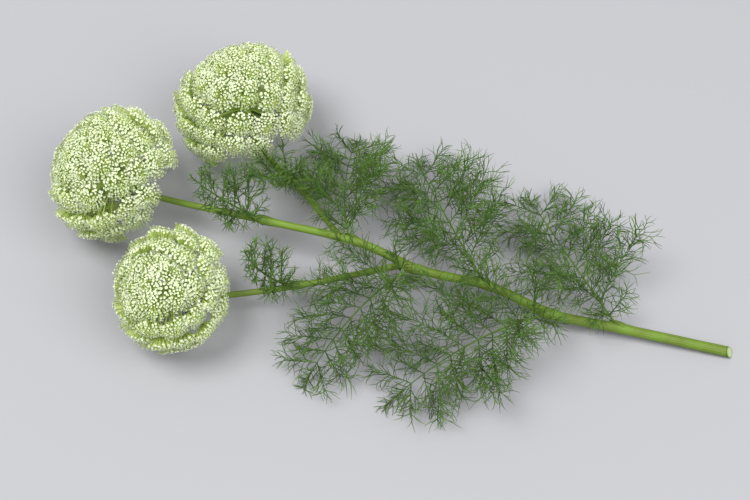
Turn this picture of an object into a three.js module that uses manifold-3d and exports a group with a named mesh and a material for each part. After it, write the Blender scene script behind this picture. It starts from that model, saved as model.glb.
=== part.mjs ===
// A cut stem of toothpick weed, lying on a table.
// One stem forks twice and carries three domed umbels of white florets, with feathery leaves at its nodes.
// Millimetres, +Z up. The cut end points to +X, the flower heads to -X, and the table is the plane z = 0.

import * as THREE from "three";
import { mergeVertices } from "three/addons/utils/BufferGeometryUtils.js";
import Module from "manifold-3d";

const wasm = await Module();
wasm.setup();

const rad = THREE.MathUtils.degToRad;
const point = (x, y, z) => new THREE.Vector3(x, y, z);
const UP = point(0, 0, 1);

// Clearance between pieces that touch on the real plant.
const GAP = 0.3;
// Turn between one part and the next round a growing tip.
const GOLDEN_TURN = rad(137.508);
// What brings the middle of the finished stem over the origin.
const TO_ORIGIN = [-17.4, -1.45, 0];

// Main stem: its nodes from the cut end to the last one under the end umbel, with the radius there.
const STEM_NODES = [
  { at: [300, 14, 3.9], radius: 4.2 },
  { at: [212, 4, 11], radius: 3.9 },
  { at: [156, -3, 16], radius: 3.8 },
  { at: [102, 3, 21], radius: 3.6 },
  { at: [46, -3, 27], radius: 3.5 },
  { at: [-8, 3, 32], radius: 3.2 },
  { at: [-80, -4, 38], radius: 2.9 },
];
const STEM_SIDES = 8;
const NODE_SWELL = 0.6;
// Distances along the stem, as shares of the way from one node to the next.
const NODE_SHARE = 0.1;
const FORK_SHARE = 0.22;
const CUT_SLANT = rad(32);

// Side stalks, each named after the umbel it ends in: the stem node it springs from, and its own node.
const SIDE_STALKS = [
  { name: "umbel_left", from: 5, node: [-68, 37, 31] },
  { name: "umbel_right", from: 4, node: [-40, -44, 24] },
];
const STALK_RADIUS = 2.4;
const STALK_SIDES = 7;
const STALK_RUN_IN = 34;

// Umbels: where the rays spring from, the heading and pitch of the dome's axis, how far out the florets are,
// how many umbellets cover the dome, and where it has parted (angle from the dome's top, angle round it).
const UMBELS = [
  { name: "umbel_end", at: [-206, -8, 49.8], facing: [186, 34], radius: 50, count: 64, cleft: [80, 35] },
  { name: "umbel_left", at: [-132, 84, 48.9], facing: [140, 46], radius: 52, count: 70, cleft: [78, 75] },
  { name: "umbel_right", at: [-124, -88, 45.1], facing: [216, 42], radius: 44, count: 52, cleft: [50, 12] },
];
const SPREAD_LIMIT = rad(116);
const CLEFT_PUSH = 0.34;
const CLEFT_WIDTH = rad(24);
const POLAR_SCATTER = rad(2);
const AROUND_SCATTER = rad(3);
const REACH_SCATTER = 0.03;
// On the dome's shoulders the rays are longer by this share, and the umbellets turn outward like shingles.
const SHOULDER_GROWTH = 0.06;
const SHOULDER_TURN = rad(26);
const TURN_SCATTER = rad(5);
const RECEPTACLE_RADIUS = 6;
const RECEPTACLE_DEPTH = 4;
const RECEPTACLE_SIDES = 9;
const RAY_RADIUS = 0.55;
const RAY_SINK = 1.2;
// A ray springs from the receptacle at this share of its floret's angle from the dome's top.
const ROOT_SHARE = 0.6;

// Umbellets: a fan of pedicels under a rosette, whose lobes, peaks and middle are enlarged florets.
const FAN_DEPTH = 7.5;
const UMBELLET_RADIUS = 11.5;
const UMBELLET_LOBES = 6;
const OUTLINE_CORNERS = 2 * UMBELLET_LOBES;
const NOTCH_SHARE = 0.9;
const PEAK_SHARE = 0.52;
// How far the lobes and the notches between them lie below the umbellet's reach, and the peaks above it.
const LOBE_DROP = 0.3;
const NOTCH_DROP = 1.3;
const PEAK_RISE = 1.7;

// Bracts under each umbel, and their angle from the dome's top.
const BRACTS = 6;
const BRACT_LENGTH = 26;
const BRACT_ANGLE = rad(128);
const BRACT_ROOT_ANGLE = rad(112);
const BRACT_SCATTER = rad(7);
const BRACT_SINK = 1.8;
const BRACT_SAG = 4;

// Leaves: the stalk and the node on it that each clasps, the side of the stalk it is on (0 is +Y, 90 is up),
// its tip, and how far its middle arches up.
const LEAVES = [
  { on: "stem", node: 1, side: 0, tip: [108, 106, 0.4], arch: 20 },
  { on: "stem", node: 2, side: 180, tip: [52, -112, 0.4], arch: 24 },
  { on: "stem", node: 3, side: 0, tip: [8, 112, 0.4], arch: 24 },
  { on: "stem", node: 4, side: 190, tip: [-14, -118, 0.4], arch: 18 },
  { on: "stem", node: 5, side: -10, tip: [-46, 116, 0.4], arch: 14 },
  { on: "stem", node: 6, side: 110, tip: [-134, -18, 98], arch: 0 },
  { on: "umbel_left", node: 1, side: 70, tip: [-86, 0, 86], arch: 0 },
  { on: "umbel_right", node: 1, side: 100, tip: [-76, -60, 86], arch: 0 },
];
const LEAF_PAIRS = 5;
const LEAF_SET_OFF = 12;
const THREAD_WIDTH = 0.9;
const BLADE_THICKNESS = 0.7;

// Pinnae, as shares of the midrib's length: where they begin, the stretch they fill, the longest one.
const PINNAE_FROM = 0.04;
const PINNAE_ALONG = 0.86;
const PINNA_REACH = 0.48;
const PINNA_TAPER = 0.62;
const PINNA_SCATTER = 0.12;
const PINNA_ANGLE = rad(62);
// Pinnae stand up from the blade, the lowest ones most, and by turns a little more and less.
const PINNA_LIFT = rad(46);
const TIP_LIFT = rad(8);
const PINNA_SWAY = rad(16);

// Side threads on each edge of a pinna: two on one longer than the first size, one down to the second.
const TWO_THREADS_FROM = 30;
const ONE_THREAD_FROM = 10;
const THREAD_ANGLE = rad(40);
const THREAD_REACH = 0.42;
const LONGEST_THREAD = 13;

// The sheath at a leaf's base.
const SHEATH_LENGTH = 12;
const SHEATH_WALL = 0.9;
const SHEATH_SPREAD = rad(100);
const SHEATH_SIDES = 6;

// Scatter between -1 and 1 that is always the same for the same pair of numbers.
function scatter(index, salt) {
  const wave = Math.sin(index * 12.9898 + salt * 78.233) * 43758.5453;
  return 2 * (wave - Math.floor(wave)) - 1;
}

// Solids

// A closed solid from corner points and triangles of corner numbers.
function solid(corners, triangles) {
  return new wasm.Manifold(
    new wasm.Mesh({
      numProp: 3,
      vertProperties: new Float32Array(corners.flatMap((corner) => corner.toArray())),
      triVerts: new Uint32Array(triangles.flat()),
    }),
  );
}

// A closed solid from a geometry, with each corner moved to where a rule puts it.
function reshaped(geometry, rule) {
  geometry.deleteAttribute("normal");
  geometry.deleteAttribute("uv");
  const { attributes, index } = mergeVertices(geometry, 1e-4);
  const corners = [];
  for (let i = 0; i < attributes.position.count; i++) {
    corners.push(rule(new THREE.Vector3().fromBufferAttribute(attributes.position, i)));
  }
  const triangles = [];
  for (let i = 0; i < index.count; i += 3) {
    const [a, b, c] = index.array.slice(i, i + 3);
    if (a !== b && b !== c && c !== a) triangles.push([a, b, c]);
  }
  return solid(corners, triangles);
}

function mesh(name, body, material) {
  const { vertProperties, triVerts } = body.getMesh();
  const geometry = new THREE.BufferGeometry();
  geometry.setAttribute("position", new THREE.BufferAttribute(vertProperties, 3));
  geometry.setIndex(new THREE.BufferAttribute(triVerts, 1));
  const made = new THREE.Mesh(geometry, material);
  made.name = name;
  return made;
}

// What lies above the table, with a small flat spot where it touches.
const aboveTable = (body) => body.trimByPlane([0, 0, 1], 0);

// Two unit vectors square to an axis that isn't upright: one level, one as near upright as can be.
function sideways(axis) {
  const level = new THREE.Vector3().crossVectors(UP, axis).normalize();
  return [level, new THREE.Vector3().crossVectors(axis, level)];
}

// Stem

// A smooth line through points: at(n) is on it, and whole numbers are the points.
function lineThrough(points) {
  const curve = new THREE.CatmullRomCurve3(points, false, "catmullrom");
  const last = points.length - 1;
  return { last, at: (n) => curve.getPoint(n / last), ahead: (n) => curve.getTangent(n / last) };
}

// The stations of a line whose points up to lastNode are nodes: three at each node, and one between points.
function stationsAlong(line, lastNode) {
  const stations = [0];
  for (let n = 1; n <= line.last; n++) {
    const here = n <= lastNode ? [n - NODE_SHARE, n, n + NODE_SHARE] : [n];
    stations.push(n - 0.5, ...here);
  }
  return stations;
}

// A round stalk along a line, with a ring of corners at each station; radiusAt gives the radius there.
function stalk(line, stations, radiusAt, sides) {
  const rings = stations.length - 1;
  const cylinder = new THREE.CylinderGeometry(1, 1, rings, sides, rings);
  return reshaped(cylinder, ({ x, y, z }) => {
    const station = stations[Math.round(y + rings / 2)];
    const [level, upright] = sideways(line.ahead(station));
    const radius = radiusAt(station);
    const centre = line.at(station);
    return centre.addScaledVector(upright, radius * x).addScaledVector(level, radius * z);
  });
}

// Points that lead into an umbel along its axis and end just short of its receptacle.
function runIn(umbel) {
  const { middle, axis } = umbelFrame(umbel);
  const before = (distance) => middle.clone().addScaledVector(axis, -RECEPTACLE_DEPTH - GAP - distance);
  return [before(STALK_RUN_IN), before(0)];
}

const mainLine = lineThrough([...STEM_NODES.map(({ at }) => point(...at)), ...runIn(UMBELS[0])]);

function sideLine({ name, from, node }) {
  const umbel = UMBELS.find((other) => other.name === name);
  return lineThrough([mainLine.at(from + FORK_SHARE), point(...node), ...runIn(umbel)]);
}

function mainRadius(n) {
  const before = Math.min(Math.floor(n), STEM_NODES.length - 1);
  const from = STEM_NODES[before].radius;
  const to = STEM_NODES[before + 1]?.radius ?? STALK_RADIUS;
  const swell = n > 0 && n === before ? NODE_SWELL : 0;
  return THREE.MathUtils.lerp(from, to, Math.min(n - before, 1)) + swell;
}

const sideRadius = (n) => STALK_RADIUS + (n === 1 ? NODE_SWELL : 0);

function stemSolid() {
  const main = stalk(mainLine, stationsAlong(mainLine, STEM_NODES.length - 1), mainRadius, STEM_SIDES);
  const sides = SIDE_STALKS.map(sideLine).map((line) =>
    stalk(line, stationsAlong(line, 1), sideRadius, STALK_SIDES),
  );
  const inward = point(-Math.cos(CUT_SLANT), 0, -Math.sin(CUT_SLANT));
  const through = mainLine.at(0).addScaledVector(mainLine.ahead(0), STEM_NODES[0].radius);
  const whole = wasm.Manifold.union([main, ...sides]);
  return aboveTable(whole.trimByPlane(inward.toArray(), inward.dot(through)));
}

// Umbels

function umbelFrame({ at, facing }) {
  const [heading, pitch] = facing.map(rad);
  const level = Math.cos(pitch);
  const axis = point(level * Math.cos(heading), level * Math.sin(heading), Math.sin(pitch));
  const [u, v] = sideways(axis);
  return { middle: point(...at), axis, u, v };
}

// The unit vector at an angle from the dome's top and an angle round it.
function onDome({ axis, u, v }, polar, around) {
  return new THREE.Vector3()
    .addScaledVector(axis, Math.cos(polar))
    .addScaledVector(u, Math.sin(polar) * Math.cos(around))
    .addScaledVector(v, Math.sin(polar) * Math.sin(around));
}

// Where the umbellets stand: evenly over the dome, a little scattered, and pushed apart at the cleft.
function umbelletPlaces({ radius, count, cleft }, frame, salt) {
  const parting = onDome(frame, rad(cleft[0]), rad(cleft[1]));
  const directions = Array.from({ length: count }, (_, i) => {
    const evenly = Math.acos(1 - ((1 - Math.cos(SPREAD_LIMIT)) * (i + 0.5)) / count);
    const polar = evenly + POLAR_SCATTER * scatter(i, salt);
    const around = i * GOLDEN_TURN + (AROUND_SCATTER * scatter(i, salt + 1)) / Math.sin(evenly);
    const direction = onDome(frame, polar, around);
    const push = CLEFT_PUSH * Math.exp(-((direction.angleTo(parting) / CLEFT_WIDTH) ** 2));
    return direction.addScaledVector(parting, -push).normalize();
  });
  return directions.map((direction, i) => {
    const polar = direction.angleTo(frame.axis);
    const around = Math.atan2(direction.dot(frame.v), direction.dot(frame.u));
    const shoulder = Math.sin(Math.PI * Math.min(polar / SPREAD_LIMIT, 1) ** 1.5);
    const outward = SHOULDER_TURN * shoulder + TURN_SCATTER * scatter(i, salt + 3);
    return {
      direction,
      others: directions.filter((other) => other !== direction),
      reach: radius * (1 + SHOULDER_GROWTH * shoulder + REACH_SCATTER * scatter(i, salt + 2)),
      root: onDome(frame, ROOT_SHARE * polar, around),
      facing: onDome(frame, polar + outward, around),
      across: onDome(frame, Math.PI / 2, around + Math.PI / 2),
      turn: i * GOLDEN_TURN,
    };
  });
}

// How far an umbellet spreads one way: to its full size, or to halfway to the neighbours there.
function spread({ direction, others, reach }, way) {
  const halfway = others.map((other) => {
    const nearing = other.dot(way) - direction.dot(way);
    return nearing > 0 ? ((reach - NOTCH_DROP) * (1 - other.dot(direction))) / nearing : Infinity;
  });
  return Math.min(UMBELLET_RADIUS, Math.min(...halfway) - GAP);
}

// One umbellet on its straight ray. Its corners are numbered from the root: the ray's two ends,
// the rosette's outline, its ring of peaks, its middle.
function umbellet(frame, place) {
  const { direction, reach, root, facing, across, turn } = place;
  const along = (way, distance) => frame.middle.clone().addScaledVector(way, distance);
  const above = (height) => along(direction, reach).addScaledVector(facing, height);
  const spoke = (way, angle) => {
    const square = new THREE.Vector3().crossVectors(way, across);
    return square.multiplyScalar(Math.sin(angle)).addScaledVector(across, Math.cos(angle));
  };
  const rayEnd = (at, way) =>
    [0, 1, 2].map((k) => at.clone().addScaledVector(spoke(way, (2 * Math.PI * k) / 3), RAY_RADIUS));
  const outline = Array.from({ length: OUTLINE_CORNERS }, (_, k) => {
    const way = spoke(facing, turn + (2 * Math.PI * k) / OUTLINE_CORNERS);
    const [share, drop] = k % 2 === 0 ? [1, LOBE_DROP] : [NOTCH_SHARE, NOTCH_DROP];
    return above(-drop).addScaledVector(way, share * spread(place, way));
  });
  const peaks = Array.from({ length: UMBELLET_LOBES }, (_, k) => {
    const overLobe = outline[2 * k].clone().addScaledVector(facing, PEAK_RISE);
    return above(PEAK_RISE).lerp(overLobe, PEAK_SHARE);
  });
  const corners = [
    ...rayEnd(along(root, RECEPTACLE_RADIUS - RAY_SINK), root),
    ...rayEnd(above(-FAN_DEPTH), facing),
    ...outline,
    ...peaks,
    above(PEAK_RISE / 2),
  ];
  return solid(corners, [...rayTriangles(), ...fanTriangles(turn), ...rosetteTriangles()]);
}

const OUTLINE = 6;
const PEAKS = OUTLINE + OUTLINE_CORNERS;
const MIDDLE = PEAKS + UMBELLET_LOBES;

function rayTriangles() {
  const walls = [0, 1, 2].flatMap((k) => {
    const next = (k + 1) % 3;
    return [
      [k, next, next + 3],
      [k, next + 3, k + 3],
    ];
  });
  return [[0, 2, 1], ...walls];
}

// From the ray's three corners out to the rosette's outline, which starts a turn further round.
function fanTriangles(turn) {
  const shift = Math.round((turn / (2 * Math.PI)) * OUTLINE_CORNERS);
  const outline = (m) => OUTLINE + THREE.MathUtils.euclideanModulo(m - shift, OUTLINE_CORNERS);
  return [0, 1, 2].flatMap((k) => {
    const over = 4 * k;
    const fan = [-2, -1, 0, 1].map((step) => [3 + k, outline(over + step + 1), outline(over + step)]);
    return [...fan, [3 + k, 3 + ((k + 1) % 3), outline(over + 2)]];
  });
}

// From the outline over the ring of peaks to the middle.
function rosetteTriangles() {
  return Array.from({ length: UMBELLET_LOBES }, (_, k) => {
    const next = (k + 1) % UMBELLET_LOBES;
    const [lobe, notch, nextLobe] = [OUTLINE + 2 * k, OUTLINE + 2 * k + 1, OUTLINE + 2 * next];
    const [peak, nextPeak] = [PEAKS + k, PEAKS + next];
    return [
      [lobe, notch, peak],
      [notch, nextPeak, peak],
      [notch, nextLobe, nextPeak],
      [peak, nextPeak, MIDDLE],
    ];
  }).flat();
}

// The swollen top of the stalk that the rays spring from.
function receptacle({ middle, axis }) {
  const profile = [
    [0, -RECEPTACLE_DEPTH],
    [STALK_RADIUS, -RECEPTACLE_DEPTH],
    [RECEPTACLE_RADIUS, -0.5],
    [0.72 * RECEPTACLE_RADIUS, 0.7 * RECEPTACLE_RADIUS],
    [0, RECEPTACLE_RADIUS],
  ].map(([x, y]) => new THREE.Vector2(x, y));
  const lathe = new THREE.LatheGeometry(profile, RECEPTACLE_SIDES);
  const turned = new THREE.Quaternion().setFromUnitVectors(point(0, 1, 0), axis);
  return reshaped(lathe, (corner) => corner.applyQuaternion(turned).add(middle));
}

// One of the forked bracts that stand in a whorl under an umbel, bent back from the rays.
function bract(frame, k, salt) {
  const around = (2 * Math.PI * (k + 0.3 * scatter(k, salt))) / BRACTS;
  const root = onDome(frame, BRACT_ROOT_ANGLE, around);
  const way = onDome(frame, BRACT_ANGLE + BRACT_SCATTER * scatter(k, salt + 1), around);
  const start = frame.middle.clone().addScaledVector(root, RECEPTACLE_RADIUS - BRACT_SINK);
  const tip = start.clone().addScaledVector(way, BRACT_LENGTH);
  const control = start.clone().lerp(tip, 0.5).addScaledVector(frame.axis, -BRACT_SAG);
  return feather(new THREE.QuadraticBezierCurve3(start, control, tip), 1, salt + k);
}

function umbelSolid(umbel, salt) {
  const frame = umbelFrame(umbel);
  const rays = umbelletPlaces(umbel, frame, salt).map((place) => umbellet(frame, place));
  const bracts = Array.from({ length: BRACTS }, (_, k) => bract(frame, k, salt + 5));
  return aboveTable(wasm.Manifold.union([receptacle(frame), ...rays, ...bracts]));
}

// Leaves

// A flat feathery blade: a midrib along +X with pinnae on both sides. Gives its corners, the numbers of those
// on its outline in order, and the triangles that fill it. Each rung crosses the midrib at an edge of a pinna.
function featherShape(length, pairs, salt) {
  const half = THREAD_WIDTH / 2;
  const corners = [
    [0, -half],
    [length, 0],
    [0, half],
  ];
  const triangles = [];
  const [right, left] = [-1, 1].map((sign) =>
    Array.from({ length: pairs }, (_, p) => {
      const share = (p + 0.5) / pairs;
      const foot = length * (PINNAE_FROM + PINNAE_ALONG * share);
      const size = (1 - PINNA_TAPER * share) * (1 + PINNA_SCATTER * scatter(p, salt + sign));
      const first = corners.length;
      const pinna = pinnaShape(foot, PINNA_REACH * length * size);
      corners.push(...pinna.corners.map(([x, y]) => [x, sign * y]));
      for (const [a, b, c] of pinna.triangles) {
        triangles.push(sign > 0 ? [first + a, first + b, first + c] : [first + c, first + b, first + a]);
      }
      return pinna.corners.map((_, i) => first + i);
    }),
  );
  const rungs = right.flatMap((numbers, p) => [
    [numbers[0], left[p][0]],
    [numbers.at(-1), left[p].at(-1)],
  ]);
  triangles.push(...strip([[0, 2], ...rungs], 1));
  return { corners, triangles, outline: [0, ...right.flat(), 1, ...left.flat().reverse(), 2] };
}

// The triangles of a strip that crosses over its rungs, each a right and a left corner, and ends in a point.
function strip(rungs, end) {
  const between = rungs.slice(1).flatMap(([right, left], k) => [
    [rungs[k][0], right, left],
    [rungs[k][0], left, rungs[k][1]],
  ]);
  const [lastRight, lastLeft] = rungs.at(-1);
  return [...between, [lastRight, end, lastLeft]];
}

// A pinna on the +Y side, with its corners from its foot out along the near edge, round the tip and back.
function pinnaShape(foot, reach) {
  const half = THREAD_WIDTH / 2;
  const [cos, sin] = [Math.cos(PINNA_ANGLE), Math.sin(PINNA_ANGLE)];
  const corner = (out, beside) => [foot + out * cos - beside * sin, half + out * sin + beside * cos];
  const threads = reach > TWO_THREADS_FROM ? 2 : reach > ONE_THREAD_FROM ? 1 : 0;
  const edge = (sign) =>
    Array.from({ length: threads }, (_, q) => {
      const start = reach * (0.36 + 0.27 * q);
      const length = Math.min(THREAD_REACH * reach, LONGEST_THREAD) * (1 - 0.15 * q);
      return [
        corner(start, sign * half),
        corner(start + length * Math.cos(THREAD_ANGLE), sign * length * Math.sin(THREAD_ANGLE)),
        corner(start + 1.7 * THREAD_WIDTH, sign * half),
      ];
    }).flat();
  const base = half / sin;
  const corners = [
    [foot - base, half],
    ...edge(1),
    corner(reach, 0),
    ...edge(-1).reverse(),
    [foot + base, half],
  ];
  const last = corners.length - 1;
  const rungs = [[last, 0]];
  const tips = [];
  for (let q = 0; q < threads; q++) {
    const [start, tip, end] = [3 * q + 1, 3 * q + 2, 3 * q + 3];
    rungs.push([last - start, start], [last - end, end]);
    tips.push([end, tip, start], [last - start, last - tip, last - end]);
  }
  return { corners, triangles: [...strip(rungs, 3 * threads + 1), ...tips] };
}

// A thin feathery blade bent along a midrib, its pinnae lifted and lowered by turns and kept off the table.
function feather(midrib, pairs, salt) {
  const length = midrib.getLength();
  const { corners, triangles, outline } = featherShape(length, pairs, salt);
  const spacing = (PINNAE_ALONG * length) / pairs;
  const bent = ([x, y], z) => {
    const foot = THREE.MathUtils.clamp(x - Math.abs(y) / Math.tan(PINNA_ANGLE), 0, length);
    const ahead = midrib.getTangentAt(foot / length);
    const [beside, above] = sideways(ahead);
    const phase = (Math.PI * (foot - PINNAE_FROM * length)) / spacing + (y > 0 ? 0 : 1.2);
    const tilt = THREE.MathUtils.lerp(PINNA_LIFT, TIP_LIFT, foot / length) + PINNA_SWAY * Math.sin(phase);
    const level = z - BLADE_THICKNESS / 2;
    const place = midrib
      .getPointAt(foot / length)
      .addScaledVector(ahead, x - foot)
      .addScaledVector(beside, y * Math.cos(tilt) - Math.sign(y) * level * Math.sin(tilt))
      .addScaledVector(above, Math.abs(y) * Math.sin(tilt) + level * Math.cos(tilt));
    place.z = Math.max(place.z, z);
    return place;
  };
  const layers = [0, BLADE_THICKNESS].flatMap((z) => corners.map((corner) => bent(corner, z)));
  const over = corners.length;
  const walls = outline.flatMap((i, k) => {
    const next = outline[(k + 1) % outline.length];
    return [
      [i, next, over + next],
      [i, over + next, over + i],
    ];
  });
  const under = triangles.map(([a, b, c]) => [c, b, a]);
  const above = triangles.map((triangle) => triangle.map((i) => over + i));
  return solid(layers, [...under, ...above, ...walls]);
}

// The sheath at a leaf's base, clasping the stalk on the leaf's side.
function sheath(centre, ahead, outward, inner) {
  const shape = new THREE.Shape();
  shape.absarc(0, 0, inner + SHEATH_WALL, -SHEATH_SPREAD, SHEATH_SPREAD, false);
  shape.absarc(0, 0, inner, SHEATH_SPREAD, -SHEATH_SPREAD, true);
  const options = { depth: SHEATH_LENGTH, bevelEnabled: false, curveSegments: SHEATH_SIDES };
  const across = new THREE.Vector3().crossVectors(ahead, outward);
  const place = new THREE.Matrix4().makeBasis(outward, across, ahead).setPosition(centre);
  return reshaped(new THREE.ExtrudeGeometry(shape, options), (corner) => corner.applyMatrix4(place));
}

function leafSolid({ on, node, side, tip, arch }, salt) {
  const onStem = on === "stem";
  const line = onStem ? mainLine : sideLine(SIDE_STALKS.find(({ name }) => name === on));
  const ahead = line.ahead(node);
  const [level, upright] = sideways(ahead);
  const outward = upright.multiplyScalar(Math.sin(rad(side))).addScaledVector(level, -Math.cos(rad(side)));
  const radius = onStem ? mainRadius(node) : sideRadius(node);
  const inner = (radius + GAP) / Math.cos(SHEATH_SPREAD / SHEATH_SIDES);
  const start = line
    .at(node)
    .addScaledVector(ahead, 0.75 * SHEATH_LENGTH)
    .addScaledVector(outward, inner + 0.6 * SHEATH_WALL);
  const end = point(...tip);
  const control = start.clone().lerp(end, 0.4).addScaledVector(ahead, LEAF_SET_OFF).addScaledVector(UP, arch);
  const blade = feather(new THREE.QuadraticBezierCurve3(start, control, end), LEAF_PAIRS, salt);
  return aboveTable(wasm.Manifold.union([sheath(line.at(node), ahead, outward, inner), blade]));
}

// The plant

const stemColour = new THREE.MeshStandardMaterial({ color: 0x7fae3a, roughness: 0.6, metalness: 0 });
const umbelColour = new THREE.MeshStandardMaterial({ color: 0xdfeac0, roughness: 0.8, metalness: 0 });
const leafColour = new THREE.MeshStandardMaterial({ color: 0x3f6b3a, roughness: 0.7, metalness: 0 });

const plant = new THREE.Group();
plant.add(mesh("stem", stemSolid(), stemColour));
UMBELS.forEach((umbel, i) => plant.add(mesh(umbel.name, umbelSolid(umbel, 10 * (i + 1)), umbelColour)));
LEAVES.forEach((leaf, i) => plant.add(mesh(`leaf_${i + 1}`, leafSolid(leaf, 100 + 10 * i), leafColour)));
plant.position.set(...TO_ORIGIN);

export default plant;
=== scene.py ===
# %% [markdown]
# # A cut stem of toothpick weed
#
# The real thing is one flower stem that lies on a table. It forks twice, each branch ends in a globe of tiny
# white florets, and feathery leaves clasp it at its nodes. A plant repeats a few rules of growth thousands
# of times, so this lesson writes the rules down and lets numpy lay out the meshes. Sculpting nearly 17,000
# florets by hand would take weeks, and particles or hair curves would be lost when the model is exported.

# %% Load the frame
from collections import namedtuple
from math import cos, pi, radians, sin

import bpy
import numpy as np
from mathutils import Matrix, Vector


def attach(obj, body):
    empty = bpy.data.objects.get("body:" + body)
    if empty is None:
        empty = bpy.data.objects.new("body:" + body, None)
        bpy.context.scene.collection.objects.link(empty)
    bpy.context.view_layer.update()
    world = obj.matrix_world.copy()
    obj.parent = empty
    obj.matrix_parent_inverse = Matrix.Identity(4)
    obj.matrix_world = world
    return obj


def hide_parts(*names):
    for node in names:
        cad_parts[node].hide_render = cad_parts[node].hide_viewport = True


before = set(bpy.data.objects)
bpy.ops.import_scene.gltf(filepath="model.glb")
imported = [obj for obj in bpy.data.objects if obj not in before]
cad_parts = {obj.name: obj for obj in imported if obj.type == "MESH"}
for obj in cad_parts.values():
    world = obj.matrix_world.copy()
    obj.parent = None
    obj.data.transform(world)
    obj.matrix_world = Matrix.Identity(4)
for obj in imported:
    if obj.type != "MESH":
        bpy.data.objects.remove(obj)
scene = bpy.context.scene
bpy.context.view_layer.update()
print("solids in the frame:", ", ".join(sorted(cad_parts)))

# %% [markdown]
# The solids were drawn in millimetres and then moved to the middle of their box. The same numbers are used
# here, and a piece is moved and scaled to metres only when its mesh is made. `scatter` gives the same small
# irregularity for the same two numbers, which keeps every umbellet where the solids have it. Finer
# irregularities come from a random generator with a fixed seed, so each run grows the same plant.

# %% Numbers and small tools
MM = 0.001
UP = np.array([0.0, 0.0, 1.0])
TO_ORIGIN = np.array([-17.4, -1.45, 0.0])
GOLDEN_TURN = radians(137.508)
WAVE_STEP = 12.9898
WAVE_SHIFT = 78.233
WAVE_HEIGHT = 43758.5453
SEED = 12
rng = np.random.default_rng(SEED)


def unit(vectors):
    return vectors / np.linalg.norm(vectors, axis=-1, keepdims=True)


def sideways(axis):
    """Two unit vectors square to an axis that isn't upright: one level, one as near upright as can be."""
    level = unit(np.cross(UP, axis))
    return level, np.cross(axis, level)


def swing(first, second, angle):
    """The directions at these angles from first towards second, which is square to it."""
    return first * np.cos(angle)[..., None] + second * np.sin(angle)[..., None]


def full_turn(steps):
    return 2 * np.pi * np.arange(steps) / steps


def blend(low, high, share):
    return low + (high - low) * share


def scatter(index, salt):
    """A number from -1 to 1 that looks random: what a very tall wave leaves over."""
    wave = np.sin(index * WAVE_STEP + salt * WAVE_SHIFT) * WAVE_HEIGHT
    return 2 * (wave - np.floor(wave)) - 1


print("scatter of 0, 1 and 2 with salt 10:", scatter(np.arange(3), 10).round(2))

# %% [markdown]
# A piece here is many small parts in one mesh: thousands of petals, or hundreds of threads. Each part brings
# its corners, its triangles and two notes for every corner, which the materials read later: `along` runs
# from 0 where a part grows out to 1 at its tip, and `tone` says how much lighter or darker it is. Blender
# could build such meshes with bmesh, but that takes a Python call for every face, and filling the mesh from
# arrays is about four times faster.

# %% Parts, and how they become a piece
Part = namedtuple("Part", "corners triangles along tone")


def filled_mesh(name, parts):
    """All the parts in one mesh, in metres, at the origin, and nowhere below the table."""
    starts = np.cumsum([0] + [len(part.corners) for part in parts])
    corners = np.concatenate([part.corners for part in parts]) + TO_ORIGIN
    corners[:, 2] = corners[:, 2].clip(min=0)
    triangles = np.concatenate([part.triangles + start for part, start in zip(parts, starts)])
    mesh = bpy.data.meshes.new(name)
    mesh.vertices.add(len(corners))
    mesh.vertices.foreach_set("co", (corners * MM).astype(np.float32).ravel())
    mesh.loops.add(triangles.size)
    mesh.loops.foreach_set("vertex_index", triangles.astype(np.int32).ravel())
    mesh.polygons.add(len(triangles))
    mesh.polygons.foreach_set("loop_start", np.arange(0, triangles.size, 3, dtype=np.int32))
    mesh.update(calc_edges=True)
    mesh.shade_smooth()
    for note in ("along", "tone"):
        values = np.concatenate([getattr(part, note) for part in parts])
        mesh.attributes.new(note, "FLOAT", "POINT").data.foreach_set("value", values.astype(np.float32))
    return mesh


def piece(name, parts, material, slot, *nodes):
    """An object made of parts, which rides on the root body and replaces the CAD nodes named, if any."""
    mesh = filled_mesh(name, parts)
    mesh.materials.append(material)
    made = bpy.data.objects.new(name, mesh)
    scene.collection.objects.link(made)
    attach(made, "root")
    if nodes:
        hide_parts(*nodes)
    print(f"{name}: {len(mesh.polygons)} triangles")


# %% [markdown]
# Rays, pedicels, threads and stems are all round and drawn out along a line. Blender's curve bevel would lay
# out one of them at a time, and this does a whole bundle at once. Each tube has rings of corners square to
# its path. A free tip closes in a point; a tube that ends inside something else can stay open.

# %% Tubes
FINE_SIDES = 3


def ring_walls(count, stations, sides):
    """Triangles between the rings of tubes whose corners are numbered tube by tube, ring by ring."""
    number = np.arange(count * stations * sides).reshape(count, stations, sides)
    here, there = number[:, :-1], number[:, 1:]
    here_next, there_next = np.roll(here, -1, axis=2), np.roll(there, -1, axis=2)
    near = np.stack([here, here_next, there_next], axis=-1)
    far = np.stack([here, there_next, there], axis=-1)
    return np.concatenate([near.reshape(-1, 3), far.reshape(-1, 3)])


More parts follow.
